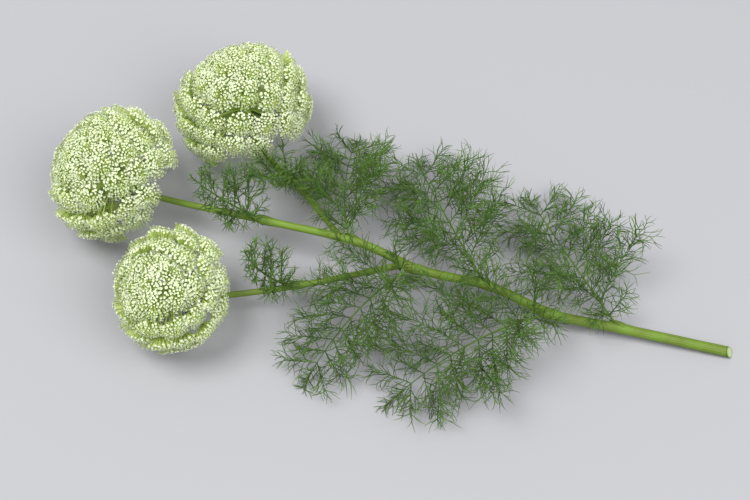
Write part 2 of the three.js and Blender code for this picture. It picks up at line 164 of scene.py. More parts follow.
def tubes(paths, radii, sides, along, tone, pointed=True):
    """One tube along each path. paths is (tubes, stations, 3); radii and along go by station."""
    count, stations = paths.shape[:2]
    radii, along = (np.broadcast_to(values, (count, stations)) for values in (radii, along))
    tone = np.broadcast_to(tone, (count,))
    ahead = unit(np.gradient(paths, axis=1))
    hint = np.eye(3)[np.abs(paths[:, -1] - paths[:, 0]).argmin(axis=1)]
    across = unit(np.cross(ahead, hint[:, None]))
    rings = swing(across[:, :, None], np.cross(ahead, across)[:, :, None], full_turn(sides))
    corners = (paths[:, :, None] + radii[:, :, None, None] * rings).reshape(-1, 3)
    walls = ring_walls(count, stations, sides)
    open_tubes = Part(corners, walls, np.repeat(along.ravel(), sides), np.repeat(tone, stations * sides))
    if not pointed:
        return open_tubes
    points = paths[:, -1] + ahead[:, -1] * radii[:, -1:]
    last_ring = (np.arange(1, count + 1) * stations * sides)[:, None] - sides + np.arange(sides)
    point = np.broadcast_to(len(corners) + np.arange(count)[:, None], last_ring.shape)
    closing = np.stack([last_ring, np.roll(last_ring, -1, axis=1), point], axis=-1).reshape(-1, 3)
    tips = Part(points, closing, along[:, -1], tone)
    return Part(*(np.concatenate(pair) for pair in zip(open_tubes, tips)))


print("sides of the finest tubes:", FINE_SIDES)

# %% [markdown]
# Living tissue is never one flat colour. It is paler where it is young, it is blotched where its cells hold
# more or less green, and its skin is waxy in some places and dull in others. All the plant's materials share
# this, so it is one node group with named inputs. It mixes a colour from root to tip, makes it lighter or
# darker by tone and by noise, and gives a roughness and a relief of cells. On the rays, pedicels and leaf
# threads, the mix from root to tip is partly painted light and shade. The shader stays in the material.

# %% The tissue group
CONSTANTS = (
    "Root Color", "Tip Color", "Tone Depth", "Blotch Scale", "Blotch Depth", "Cell Scale", "Roughness"
)
TISSUE_INPUTS = (*CONSTANTS, "Along", "Tone")
TISSUE_OUTPUTS = ("Color", "Roughness", "Height")
MIDDLE = 0.5
HUE_SWING = 0.06
ROUGHNESS_SWING = 0.3


def tissue_group():
    group = bpy.data.node_groups.new("Plant tissue", "ShaderNodeTree")
    for in_out, names in (("INPUT", TISSUE_INPUTS), ("OUTPUT", TISSUE_OUTPUTS)):
        for name in names:
            kind = "NodeSocketColor" if name.endswith("Color") else "NodeSocketFloat"
            group.interface.new_socket(name, in_out=in_out, socket_type=kind)
    add, link = group.nodes.new, group.links.new
    given, result = add("NodeGroupInput").outputs, add("NodeGroupOutput").inputs
    place = add("ShaderNodeTexCoord")

    def noise(scale_from, detail):
        node = add("ShaderNodeTexNoise")
        node.inputs["Detail"].default_value = detail
        link(place.outputs["Object"], node.inputs["Vector"])
        link(given[scale_from], node.inputs["Scale"])
        return node.outputs["Fac"]

    def maths(operation, *values):
        node = add("ShaderNodeMath")
        node.operation = operation
        for socket, value in zip(node.inputs, values):
            if isinstance(value, (int, float)):
                socket.default_value = value
            else:
                link(value, socket)
        return node.outputs[0]

    blotch, cells = noise("Blotch Scale", detail=3), noise("Cell Scale", detail=1)
    ramp = add("ShaderNodeMix")
    ramp.data_type = "RGBA"
    link(given["Along"], ramp.inputs["Factor"])
    link(given["Root Color"], ramp.inputs["A"])
    link(given["Tip Color"], ramp.inputs["B"])
    by_tone = maths("MULTIPLY_ADD", given["Tone"], given["Tone Depth"], 1.0)
    centred = maths("SUBTRACT", blotch, MIDDLE)
    value = maths("MULTIPLY_ADD", centred, given["Blotch Depth"], by_tone)
    hue = maths("MULTIPLY_ADD", centred, HUE_SWING, MIDDLE)
    shift = add("ShaderNodeHueSaturation")
    link(hue, shift.inputs["Hue"])
    link(value, shift.inputs["Value"])
    link(ramp.outputs["Result"], shift.inputs["Color"])
    roughness = maths("MULTIPLY_ADD", centred, ROUGHNESS_SWING, given["Roughness"])
    link(shift.outputs["Color"], result["Color"])
    link(roughness, result["Roughness"])
    link(cells, result["Height"])
    return group


PLANT_TISSUE = tissue_group()
print("nodes in the tissue group:", len(PLANT_TISSUE.nodes))

# %% [markdown]
# These are the finishes, each a Principled shader fed by the group. The stem is bright green and a little
# waxy. Rays and pedicels are the same green, paler and yellower towards the florets; that paleness is partly
# their own colour and partly painted light, which stands in for the light that shines through them in the
# shade under the florets. Petals are greenish at the heart and creamy white at the tip, and they scatter
# light so well that they hardly shine. The heart of a floret is yellow-green. Leaf threads are dark green,
# and darker towards their roots, which is partly painted shade for the depth of the leafy mass. The sheaths
# are nearly as pale as the stem, and the freshly cut face shows white pith. A painted picture could show
# more, but noise fits any size.

# %% The finishes
def plant_material(name, root, tip, tone_depth, blotch, cell_scale, relief, roughness, shine):
    """Colours are linear, blotch is a scale and a depth, and relief is in metres."""
    material = bpy.data.materials.new(name)
    material.use_nodes = True
    nodes, link = material.node_tree.nodes, material.node_tree.links.new
    shader = nodes["Principled BSDF"]
    tissue = nodes.new("ShaderNodeGroup")
    tissue.node_tree = PLANT_TISSUE
    for note in ("along", "tone"):
        read = nodes.new("ShaderNodeAttribute")
        read.attribute_name = note
        link(read.outputs["Fac"], tissue.inputs[note.capitalize()])
    values = (*root, 1), (*tip, 1), tone_depth, *blotch, cell_scale, roughness
    for constant, value in zip(CONSTANTS, values):
        tissue.inputs[constant].default_value = value
    bump = nodes.new("ShaderNodeBump")
    bump.inputs["Distance"].default_value = relief
    bump.inputs["Strength"].default_value = 0.5
    link(tissue.outputs["Height"], bump.inputs["Height"])
    link(tissue.outputs["Color"], shader.inputs["Base Color"])
    link(tissue.outputs["Roughness"], shader.inputs["Roughness"])
    link(bump.outputs["Normal"], shader.inputs["Normal"])
    shader.inputs["Specular IOR Level"].default_value = shine
    return material


STEM_SKIN = plant_material(
    "stem skin", (0.12, 0.195, 0.016), (0.15, 0.24, 0.021), 0.2, (60, 0.9), 1800, 0.00004, 0.46, 0.4
)
# Painted light: the pale yellow tip colour partly stands in for light that shines through the pedicels in the
# shade under the florets.
RAY_SKIN = plant_material(
    "ray skin", (0.29, 0.45, 0.05), (0.66, 0.79, 0.24), 0.12, (150, 0.4), 3000, 0.00002, 0.5, 0.35
)
PETAL = plant_material(
    "petal", (0.6, 0.72, 0.26), (0.76, 0.79, 0.69), 0.06, (120, 0.12), 5000, 0.00001, 0.62, 0.25
)
HEART = plant_material(
    "floret heart", (0.42, 0.58, 0.06), (0.68, 0.8, 0.24), 0.15, (200, 0.3), 5000, 0.00001, 0.5, 0.4
)
# Painted shade: the darker root colour partly stands in for the shade deep in the leaves and under the
# umbels.
THREAD = plant_material(
    "leaf thread", (0.032, 0.082, 0.009), (0.088, 0.172, 0.026), 0.5, (90, 0.6), 3000, 0.00002, 0.5, 0.3
)
SHEATH = plant_material(
    "leaf sheath", (0.115, 0.19, 0.018), (0.06, 0.125, 0.014), 0.14, (90, 0.4), 1800, 0.00003, 0.5, 0.35
)
PITH = plant_material(
    "cut pith", (0.42, 0.49, 0.28), (0.17, 0.3, 0.05), 0.4, (900, 0.5), 2500, 0.0001, 0.6, 0.3
)
print("finishes that use the tissue group:", PLANT_TISSUE.users)

# %% [markdown]
# The stem goes through seven nodes, a little bent at each, as on every plant that sends a branch out there.
# The three umbels are placed first, because each stalk has to bend into the axis of its own. An umbel's
# `facing` is the heading and the pitch of its axis, and its `cleft` is where the dome is parted, down from
# the top and round it, all in degrees. A side stalk has the number of the node that it springs from, and its
# elbow. All these are the numbers of the solids, so the pieces fall into the same places.

# %% The nodes and the umbels
STEM_NODES = np.array(
    [(300, 14, 3.9), (212, 4, 11), (156, -3, 16), (102, 3, 21), (46, -3, 27), (-8, 3, 32), (-80, -4, 38)]
)
Umbel = namedtuple("Umbel", "name at facing radius count cleft salt")
UMBELS = [
    Umbel("umbel_end", (-206, -8, 49.8), (186, 34), 50, 64, (80, 35), 10),
    Umbel("umbel_left", (-132, 84, 48.9), (140, 46), 52, 70, (78, 75), 20),
    Umbel("umbel_right", (-124, -88, 45.1), (216, 42), 44, 52, (50, 12), 30),
]
SIDE_STALKS = {"umbel_left": (5, (-68, 37, 31)), "umbel_right": (4, (-40, -44, 24))}


def umbel_frame(umbel):
    """The middle of an umbel, the axis of its dome, and two vectors square to that."""
    heading, pitch = map(radians, umbel.facing)
    level = cos(pitch)
    axis = np.array([level * cos(heading), level * sin(heading), sin(pitch)])
    return (np.array(umbel.at, float), axis, *sideways(axis))


print("umbellets in all:", sum(umbel.count for umbel in UMBELS))

# %% [markdown]
# A line that bends gently through given points is a Catmull-Rom spline. Blender's curves could draw it, but
# the radius and the ribs are worked out at every place on the line, so a plain function serves better. Each
# side stalk springs from the main line just past its node, and every stalk runs in straight behind its umbel.

# %% The stem's lines
FORK_SHARE = 0.22
RUN_IN = 34
RECEPTACLE_DEPTH = 4
GAP = 0.3
LINE_STEP = 0.001
MAIN_END = len(STEM_NODES) + 1
SIDE_END = 3
BUTT = np.array(0.0)


def spline(points):
    """A function of n that passes through the points at whole numbers."""
    padded = np.vstack([2 * points[0] - points[1], points, 2 * points[-1] - points[-2]])

    def at(n):
        n = np.asarray(n, float)
        first = np.clip(np.floor(n).astype(int), 0, len(points) - 2)
        t = (n - first)[..., None]
        a, b, c, d = (padded[first + k] for k in range(4))
        start, end = (c - a) / 2, (d - b) / 2
        return b + start * t + (3 * (c - b) - 2 * start - end) * t**2 + (2 * (b - c) + start + end) * t**3

    return at


def ahead_on(line, n):
    return unit(line(n + LINE_STEP) - line(n - LINE_STEP))


def run_in(umbel):
    """The last two points of an umbel's stalk."""
    middle, axis = umbel_frame(umbel)[:2]
    return [middle - axis * (RECEPTACLE_DEPTH + GAP + before) for before in (RUN_IN, 0)]


main_line = spline(np.vstack([STEM_NODES, run_in(UMBELS[0])]))
side_lines = {}
for umbel in UMBELS[1:]:
    node, elbow = SIDE_STALKS[umbel.name]
    side_lines[umbel.name] = spline(np.vstack([main_line(node + FORK_SHARE), elbow, run_in(umbel)]))
print("the stem ends at", main_line(MAIN_END).round(1))

# %% [markdown]
# The stem's skin has fine ribs all round, with a groove between each two, and it swells at the nodes. Ribs
# could be a bump in the material, but from close by the outline would then be smooth, so they are real: the
# radius rises and falls round the ring. The tone is 1 on a rib and -1 in a groove, which makes the ribs
# paler. The butt was cut with one slanting stroke, and there the corners slide along the stem on to the
# cut's plane.

# %% The ribbed stem
NODE_RADII = [4.2, 3.9, 3.8, 3.6, 3.5, 3.2, 2.9]
STALK_RADIUS = 2.4
NODE_SWELL = 0.6
NODE_SHARE = 0.1
FORK_SWELL = 1.1
FORK_SWELL_SHARE = 0.25
RIBS = 15
CORNERS_A_RIB = 4
STEM_SIDES = RIBS * CORNERS_A_RIB
RIB_HEIGHT = 0.12
RIB_FADE = 0.5
STATIONS_A_NODE = 20
CUT_SLANT = radians(32)


def near_node(n, last_node):
    """1 at a node and 0 further than NODE_SHARE from it."""
    off = np.abs(n - np.clip(np.round(n), 1, last_node)) / NODE_SHARE
    return np.cos(np.minimum(off, 1) * np.pi / 2) ** 2


def main_radius(n):
    radii = np.append(NODE_RADII, [STALK_RADIUS, STALK_RADIUS])
    return np.interp(n, np.arange(len(radii)), radii) + NODE_SWELL * near_node(n, MAIN_END - 2)


def side_radius(n):
    root = FORK_SWELL * np.clip(1 - n / FORK_SWELL_SHARE, 0, 1) ** 2
    return STALK_RADIUS + root + NODE_SWELL * near_node(n, SIDE_END - 2)


def ribbed_stalk(line, last, radius_at):
    """A stalk along a line from 0 to last. Its ribs fade at the nodes."""
    n = np.linspace(0, last, last * STATIONS_A_NODE + 1)
    level, upright = sideways(ahead_on(line, n))
    turn = full_turn(STEM_SIDES)
    wave = np.cos(RIBS * turn)
    fade = (1 - RIB_FADE * near_node(n, last - 2))[:, None]
    radius = radius_at(n)[:, None] + RIB_HEIGHT * wave * fade
    ring = swing(upright[:, None], level[:, None], turn)
    corners = line(n)[:, None] + radius[..., None] * ring
    walls = ring_walls(1, len(n), STEM_SIDES)[:, ::-1]
    return Part(corners.reshape(-1, 3), walls, np.repeat(n / last, STEM_SIDES), np.tile(wave, len(n)))


def cut_slanting(stalk):
    """Slides what is beyond the cut's plane back on to it, along the stem."""
    ahead = ahead_on(main_line, BUTT)
    inward = np.array([-cos(CUT_SLANT), 0, -sin(CUT_SLANT)])
    through = main_line(BUTT) + ahead * NODE_RADII[0]
    short = (inward @ through - stalk.corners @ inward) / (inward @ ahead)
    return stalk._replace(corners=stalk.corners + np.maximum(short, 0)[:, None] * ahead)


main_stalk = cut_slanting(ribbed_stalk(main_line, MAIN_END, main_radius))
side_stalks = [ribbed_stalk(line, SIDE_END, side_radius) for line in side_lines.values()]
piece("stem_skin", [main_stalk, *side_stalks], STEM_SKIN, "stem", "stem")

# %% [markdown]
# The cut face closes the butt. It is pale and spongy in the middle, and under each rib of the skin lies a
# darker bundle of fibres. Rings of corners run from the stem's first ring to its middle and dip a little, as
# a drying cut does, and the tone note darkens one ring of them under the ribs. The last ring is a point, so
# there only one triangle of each pair has an area, and the others are left out.

# %% The cut face
FACE_RINGS = 9
FACE_DIP = 0.35
BUNDLE_RING = 2
BUNDLE_TONE = -1.0
PITH_TONE = 0.2
ON_A_RIB = 0.9
RIM_NARROWNESS = 6


def cut_face(stalk):
    rim = stalk.corners[:STEM_SIDES]
    middle = rim.mean(axis=0)
    ring = np.arange(FACE_RINGS + 1)[:, None]
    share = 1 - ring / FACE_RINGS
    dip = ahead_on(main_line, BUTT) * (FACE_DIP * (1 - share**2))[..., None]
    corners = middle + (rim - middle) * share[..., None] + dip
    in_bundle = (ring == BUNDLE_RING) & (stalk.tone[:STEM_SIDES] > ON_A_RIB)
    tone = np.where(in_bundle, BUNDLE_TONE, PITH_TONE)
    along = np.broadcast_to(share**RIM_NARROWNESS, tone.shape)
    walls = ring_walls(1, FACE_RINGS + 1, STEM_SIDES)[:-STEM_SIDES]
    return Part(corners.reshape(-1, 3), walls, along.ravel(), tone.ravel())


piece("cut_face", [cut_face(main_stalk)], PITH, "stem")

# %% [markdown]
# A compound umbel is a dome of small umbels. Its rays spring from one swollen point, and each ends in an
# umbellet. The umbellets stand where seeds stand in a sunflower: each is a golden turn from the last, which
# covers the dome evenly with no rows. One side of each dome is parted, as it is on flower heads that were
# packed together. On the shoulders the umbellets turn outward like shingles, so that from above each shows
# the green of its pedicels under a white rim.

# %% Where the umbellets stand
SPREAD_LIMIT = radians(116)
CLEFT_PUSH = 0.34
CLEFT_WIDTH = radians(24)
POLAR_SCATTER = radians(2)
AROUND_SCATTER = radians(3)
REACH_SCATTER = 0.03
SHOULDER_GROWTH = 0.06
SHOULDER_SKEW = 1.5
SHOULDER_TURN = radians(26)
TURN_SCATTER = radians(5)
ROOT_SHARE = 0.6
FAN_DEPTH = 8.5
Umbellets = namedtuple("Umbellets", "direction reach middle root end facing across")


def on_dome(frame_of, polar, around):
    """Unit vectors at an angle from the dome's top and an angle round it."""
    _, axis, u, v = frame_of
    return swing(axis, swing(u, v, around), polar)


def umbellet_places(umbel):
    """Where the umbellets stand and which way they face. root and end are those of the ray."""
    frame_of = umbel_frame(umbel)
    centre, axis, u, v = frame_of
    parting = on_dome(frame_of, radians(umbel.cleft[0]), radians(umbel.cleft[1]))
    k = np.arange(umbel.count)
    evenly = np.arccos(1 - (1 - cos(SPREAD_LIMIT)) * (k + 0.5) / umbel.count)
    polar = evenly + POLAR_SCATTER * scatter(k, umbel.salt)
    around = k * GOLDEN_TURN + AROUND_SCATTER * scatter(k, umbel.salt + 1) / np.sin(evenly)
    direction = on_dome(frame_of, polar, around)
    angle = np.arccos(np.clip(direction @ parting, -1, 1))
    push = CLEFT_PUSH * np.exp(-((angle / CLEFT_WIDTH) ** 2))
    direction = unit(direction - push[:, None] * parting)
    polar = np.arccos(np.clip(direction @ axis, -1, 1))
    around = np.arctan2(direction @ v, direction @ u)
    shoulder = np.sin(np.pi * np.minimum(polar / SPREAD_LIMIT, 1) ** SHOULDER_SKEW)
    reach = umbel.radius * (1 + SHOULDER_GROWTH * shoulder + REACH_SCATTER * scatter(k, umbel.salt + 2))
    outward = SHOULDER_TURN * shoulder + TURN_SCATTER * scatter(k, umbel.salt + 3)
    middle = centre + direction * reach[:, None]
    root = on_dome(frame_of, ROOT_SHARE * polar, around)
    facing = on_dome(frame_of, polar + outward, around)
    across = on_dome(frame_of, np.pi / 2, around + np.pi / 2)
    return Umbellets(direction, reach, middle, root, middle - facing * FAN_DEPTH, facing, across)


print("the end umbel's longest reach:", umbellet_places(UMBELS[0]).reach.max().round(1), "mm")

# %% [markdown]
# An umbellet spreads until it meets its neighbours, so they press each other into irregular discs. For each
# way across a disc, this works out how far off the line halfway to every neighbour is, and keeps the
# nearest. Discs that grow step by step until they touch would look the same, but need many rounds.

# %% How far an umbellet spreads
UMBELLET_RADIUS = 11.5
NOTCH_DROP = 1.3
TINY = 1e-9


def spread(umbellets, ways):
    """How far each umbellet spreads along each of its ways."""
    direction = umbellets.direction
    apart = 1 - direction @ direction.T
    np.fill_diagonal(apart, np.inf)
    own = np.einsum("ic,ifc->if", direction, ways)[:, None]
    nearing = np.maximum(np.einsum("jc,ifc->ijf", direction, ways) - own, TINY)
    halfway = (umbellets.reach - NOTCH_DROP)[:, None, None] * apart[..., None] / nearing
    return np.minimum(UMBELLET_RADIUS, halfway.min(axis=1) - GAP)


print("an umbellet is at most", 2 * UMBELLET_RADIUS, "mm across")

# %% [markdown]
# A floret is about 2.2 mm across and has five petals, each notched at its tip and folded along its middle.
# One petal is six corners in the floret's own directions: across, out and up. The notch lies lower and
# further in than the two lobes beside it. A bud is the same floret with its petals raised, so one shape
# serves every age. Blender's instances would save memory, but the export drops them, so the corners are
# copied and turned in one go.

# %% The petals
PETAL_ACROSS = np.array([0.0, -0.4, -0.33, 0.0, 0.33, 0.4])
PETAL_OUT = np.array([0.12, 0.56, 0.99, 0.86, 0.99, 0.56])
PETAL_UP = np.array([0.0, 0.14, 0.2, 0.0, 0.2, 0.14])
PETAL_ALONG = np.array([0.0, 0.75, 1.0, 0.85, 1.0, 0.75])
PETAL_TRIANGLES = np.array([[0, k, k + 1] for k in range(1, 5)])
PETALS = 5
LIFT_IN_BUD = 1.35
LIFT_WHEN_OPEN = 0.35
LIFT_SCATTER = 0.3
WIDTH_IN_BUD = 0.75
ALONG_IN_BUD = 0.45
OFF_FACING = 0.1


def square_to(facing):
    """Two unit vectors square to each facing and to each other, whichever way it faces."""
    first = unit(np.cross(facing, np.roll(facing, 1, axis=1) + OFF_FACING))
    return first, np.cross(facing, first)


def petals(centre, facing, size, opening, turn, tone):
    """The petals of many florets. opening is 1 for an open floret and 0 for a bud."""
    first, second = square_to(facing)
    angle = turn[:, None] + full_turn(PETALS)
    out = swing(first[:, None], second[:, None], angle)
    side = np.cross(facing[:, None], out)
    lift = blend(LIFT_IN_BUD, LIFT_WHEN_OPEN, opening)[:, None] + rng.normal(0, LIFT_SCATTER, angle.shape)
    ahead, above = np.cos(lift)[..., None], np.sin(lift)[..., None]
    tipped = PETAL_OUT * ahead - PETAL_UP * above
    raised = PETAL_OUT * above + PETAL_UP * ahead
    width = blend(WIDTH_IN_BUD, 1, opening)[:, None, None, None]
    shape = out[:, :, None] * tipped[..., None] + side[:, :, None] * PETAL_ACROSS[:, None] * width
    shape += facing[:, None, None] * raised[..., None]
    corners = centre[:, None, None] + size[:, None, None, None] * shape
    triangles = PETAL_TRIANGLES + np.arange(angle.size)[:, None, None] * len(PETAL_ALONG)
    along = blend(ALONG_IN_BUD, 1, opening)[:, None] * np.tile(PETAL_ALONG, PETALS)
    tones = np.repeat(tone, PETALS * len(PETAL_ALONG))
    return Part(corners.reshape(-1, 3), triangles.reshape(-1, 3), along.ravel(), tones)


print("triangles in a floret's petals:", PETALS * len(PETAL_TRIANGLES))

# %% [markdown]
# In the middle of each floret sits its yellow-green heart, which later swells into the seeds. It is about
# half a millimetre across, so a dome of five triangles is enough to catch the light, where a ball would cost
# ten times as many.

# %% The hearts
HEART_SIDES = 5
HEART_RADIUS = 0.26
HEART_SINK = 0.12
HEART_RISE = 0.22
HEART_RIM_ALONG = 0.2


def hearts(centre, facing, size, tone):
    first, second = square_to(facing)
    ring = swing(first[:, None], second[:, None], full_turn(HEART_SIDES))
    rim = centre[:, None] + size[:, None, None] * (HEART_RADIUS * ring - HEART_SINK * facing[:, None])
    top = (centre + size[:, None] * HEART_RISE * facing)[:, None]
    corners = np.concatenate([rim, top], axis=1).reshape(-1, 3)
    fan = np.array([[k, (k + 1) % HEART_SIDES, HEART_SIDES] for k in range(HEART_SIDES)])
    triangles = fan + np.arange(len(centre))[:, None, None] * (HEART_SIDES + 1)
    along = np.tile([HEART_RIM_ALONG] * HEART_SIDES + [1.0], len(centre))
    return Part(corners, triangles.reshape(-1, 3), along, np.repeat(tone, HEART_SIDES + 1))


print("triangles in a floret's heart:", HEART_SIDES)

# %% [markdown]
# In an umbellet the florets again stand in a sunflower pattern, closest in the middle, on a shallow dome,
# and they lean outward towards its rim. The pattern is worked out for all the florets of an umbel at once,
# which is quicker than one umbellet after another.

# %% Where the florets stand
FLORETS = 90
OVERLAP = 1.13
CROWN_RISE = 1.3
RIM_DROP = 2.2
RIM_TILT = 1.2
ANGLE_SCATTER = 0.06
OUT_SCATTER = 0.03
HEIGHT_SCATTER = 0.22
FACING_SCATTER = 0.1


def umbel_florets(umbellets):
    """Places and facings of all florets, and how far out each is in its umbellet, from 0 to 1."""
    across, ahead = umbellets.across, umbellets.facing
    f = np.arange(FLORETS)
    angle = np.arange(len(across))[:, None] * GOLDEN_TURN + f * GOLDEN_TURN
    angle = angle + rng.normal(0, ANGLE_SCATTER, angle.shape)
    ways = swing(across[:, None], np.cross(ahead, across)[:, None], angle)
    q = np.sqrt((f + 0.5) / FLORETS) * (1 + rng.normal(0, OUT_SCATTER, angle.shape))
    out = q * spread(umbellets, ways) * OVERLAP
    height = CROWN_RISE * (1 - q**2) - RIM_DROP * q**3 + rng.normal(0, HEIGHT_SCATTER, q.shape)
    centre = umbellets.middle[:, None] + ahead[:, None] * height[..., None] + ways * out[..., None]
    tilt = (RIM_TILT * q**1.5)[..., None]
    facing = unit(ahead[:, None] + ways * tilt + rng.normal(0, FACING_SCATTER, ways.shape))
    return centre, facing, q


print("florets in all:", FLORETS * sum(umbel.count for umbel in UMBELS))

# %% [markdown]
# Each floret is held by its own pedicel, and all the pedicels of an umbellet rise from the end of its ray.
# Seen from the side they make the green half-moon under the white. The outer ones leave the ray almost level
# and then bend up, so they get a station halfway. The inner ones are straight, and need only two ends.

# %% The pedicels
PEDICEL_RADIUS = 0.24
PEDICEL_FLARE = (0.85, 1.15)
PEDICEL_ALONG = (0.35, 1)
FLORET_DEPTH = 0.3
BENT_FROM = 0.6
BEND_OUT = 0.66
BEND_UP = 0.36


def pedicels(umbellets, centre, facing, q):
    root = np.broadcast_to(umbellets.end[:, None], centre.shape)
    ahead = umbellets.facing[:, None]
    foot = centre - facing * FLORET_DEPTH
    chord = foot - root
    up = (chord * ahead).sum(axis=-1, keepdims=True) * ahead
    bend = root + (chord - up) * BEND_OUT + up * BEND_UP
    parts = []
    for outer in (True, False):
        chosen = (q > BENT_FROM) == outer
        stops = [root, bend, foot] if outer else [root, foot]
        paths = np.stack([stop[chosen] for stop in stops], axis=1)
        count, stations = paths.shape[:2]
        radii = np.linspace(*PEDICEL_FLARE, stations) * PEDICEL_RADIUS
        notes = np.linspace(*PEDICEL_ALONG, stations), rng.uniform(-1, 1, count)
        parts.append(tubes(paths, radii, FINE_SIDES, *notes, pointed=False))
    return parts


print("a pedicel is", 2 * PEDICEL_RADIUS, "mm thick")

# %% [markdown]
# The rays are stiff and nearly straight, a little thicker where they leave the receptacle. Round each ray's
# end stands a frill of short pointed bracteoles. Flat blades would be truer for the bracteoles, but from the
# side they vanish, so they are thin tubes as well.

# %% Rays and bracteoles
RECEPTACLE_RADIUS = 6
RAY_RADII = 0.55 * np.array([1.3, 1.05, 0.95, 0.95, 1.15])
RAY_SIDES = 6
RAY_SINK = 1.2
RAY_BOW = 0.6
RAY_SALT = 3
BRACTEOLES = 5
FRILL_SCATTER = 0.3
FRILL_LENGTHS = (4.5, 6.5)
FRILL_BEND = (0.8, 0.1)
FRILL_TIP = (0.95, 0.35)
FRILL_RADII = (0.32, 0.26, 0.08)
FRILL_ALONG = (0.2, 0.5, 0.8)


def bracteoles(umbellets):
    ahead = umbellets.facing
    across = unit(np.cross(ahead, UP))
    shape = len(ahead), BRACTEOLES
    number = np.arange(BRACTEOLES) + rng.uniform(-FRILL_SCATTER, FRILL_SCATTER, shape)
    angle = 2 * np.pi * number / BRACTEOLES
    way = swing(across[:, None], np.cross(ahead, across)[:, None], angle)
    length = rng.uniform(*FRILL_LENGTHS, (*shape, 1))
    start = np.broadcast_to(umbellets.end[:, None], way.shape)
    bend = start + length * 0.5 * (way * FRILL_BEND[0] + ahead[:, None] * FRILL_BEND[1])
    tip = start + length * (way * FRILL_TIP[0] + ahead[:, None] * FRILL_TIP[1])
    paths = np.stack([start, bend, tip], axis=2).reshape(-1, 3, 3)
    return tubes(paths, FRILL_RADII, FINE_SIDES, FRILL_ALONG, rng.uniform(-1, 1, len(paths)))


def rays(umbel, umbellets):
    """The rays, which bow a little towards the umbel's top, and their bracteoles."""
    middle, axis = umbel_frame(umbel)[:2]
    direction = umbellets.direction
    root = middle + umbellets.root * (RECEPTACLE_RADIUS - RAY_SINK)
    share = np.linspace(0, 1, len(RAY_RADII))[:, None]
    to_top = unit(axis - direction * (direction @ axis)[:, None])[:, None]
    bow = np.sin(np.pi * share) * RAY_BOW * to_top
    paths = blend(root[:, None], umbellets.end[:, None], share) + bow
    tone = scatter(np.arange(umbel.count), RAY_SALT)
    return [tubes(paths, RAY_RADII, RAY_SIDES, share[:, 0], tone), bracteoles(umbellets)]


print("bracteoles on each ray:", BRACTEOLES)

# %% [markdown]
# The receptacle is the swollen end of the stalk, and all the rays spring from it. It is turned like a knob
# on a lathe: one profile, many sides. A ball would meet the stalk at an edge, and this one runs into it.

# %% The receptacle
KNOB_RADII = np.array([2.3, 2.5, 3.4, 4.9, 5.8, 5.9, 5.5, 4.8, 3.6, 1.8, 0.02])
KNOB_HEIGHTS = np.array([-5.2, -4.2, -3, -1.8, -0.7, 0.4, 2, 3.5, 4.8, 5.7, 6])
KNOB_SIDES = 32
KNOB_LOBES = 8


def receptacle(umbel):
    middle, axis = umbel_frame(umbel)[:2]
    level, upright = sideways(axis)
    turn = full_turn(KNOB_SIDES)
    ring = swing(upright, level, turn)
    corners = middle + KNOB_RADII[:, None, None] * ring + KNOB_HEIGHTS[:, None, None] * axis
    rings = len(KNOB_RADII)
    walls = ring_walls(1, rings, KNOB_SIDES)[:, ::-1]
    along = np.repeat(np.linspace(0, 1, rings), KNOB_SIDES)
    return Part(corners.reshape(-1, 3), walls, along, np.tile(np.cos(turn * KNOB_LOBES), rings))


print("a receptacle is", 2 * KNOB_RADII.max(), "mm thick")

# %% [markdown]
# The bracts and the leaves are both made of forked threads. A thread grows by one rule: go on for a stretch
# in a gentle curve, then fork. The function takes arrays of starts, directions and lengths, gives back the
# tubes of this stretch, and calls itself on the forks. The last stretch is the longest, so it gets one ring
# more to keep its curve smooth. Drawing the twigs one by one would take thousands of curves.

# %% Threads that fork
STRETCH_SHARE = 0.36
THREAD_BOW = 0.4
STRETCH = (3, 0.1)
LAST_STRETCH = (4, 0.6)
FORK_ANGLES = (0.18, 0.5)
FORK_LENGTHS = (0.8, 1.15)
FORK_THINNING = 0.88


def threads(start, ahead, length, radius, generations, along=(0.3, 1.0)):
    """Tubes for this stretch and for the forks after it. None sinks into the table."""
    count = len(start)
    last = generations == 1
    stations, thinning = LAST_STRETCH if last else STRETCH
    stretch = length * (1 if last else STRETCH_SHARE)
    bow = unit(np.cross(ahead, rng.normal(size=(count, 3)))) * (THREAD_BOW * stretch)[:, None]
    share = np.linspace(0, 1, stations)[:, None]
    paths = start[:, None] + ahead[:, None] * stretch[:, None, None] * share + bow[:, None] * share**2
    paths[..., 2] = np.maximum(paths[..., 2], radius)
    radii = radius * (1 - thinning * share[:, 0] ** 2)
    middle = blend(*along, 1 / generations)
    notes = np.linspace(along[0], middle, stations), rng.uniform(-1, 1, count)
    parts = [tubes(paths, radii, FINE_SIDES, *notes, pointed=last)]
    if last:
        return parts
    end, way = paths[:, -1], unit(paths[:, -1] - paths[:, -2])
    beside = unit(np.cross(way, rng.normal(size=(count, 3))))
    for side in (-1, 1):
        forked = unit(swing(way, beside, rng.uniform(*FORK_ANGLES, count) * side))
        rest = (length - stretch) * rng.uniform(*FORK_LENGTHS, count)
        parts += threads(end, forked, rest, radius * FORK_THINNING, generations - 1, (middle, along[1]))
    return parts


print("rings in a last stretch:", LAST_STRETCH[0])

# %% [markdown]
# Under every umbel stands a whorl of bracts, bent back from the rays, long and short by turns. Each is a rib
# with four forked threads on it. Its line is a Bezier curve with one control point, which bends it all the
# way along, as a limp thing hangs. A round arc would bend too evenly.

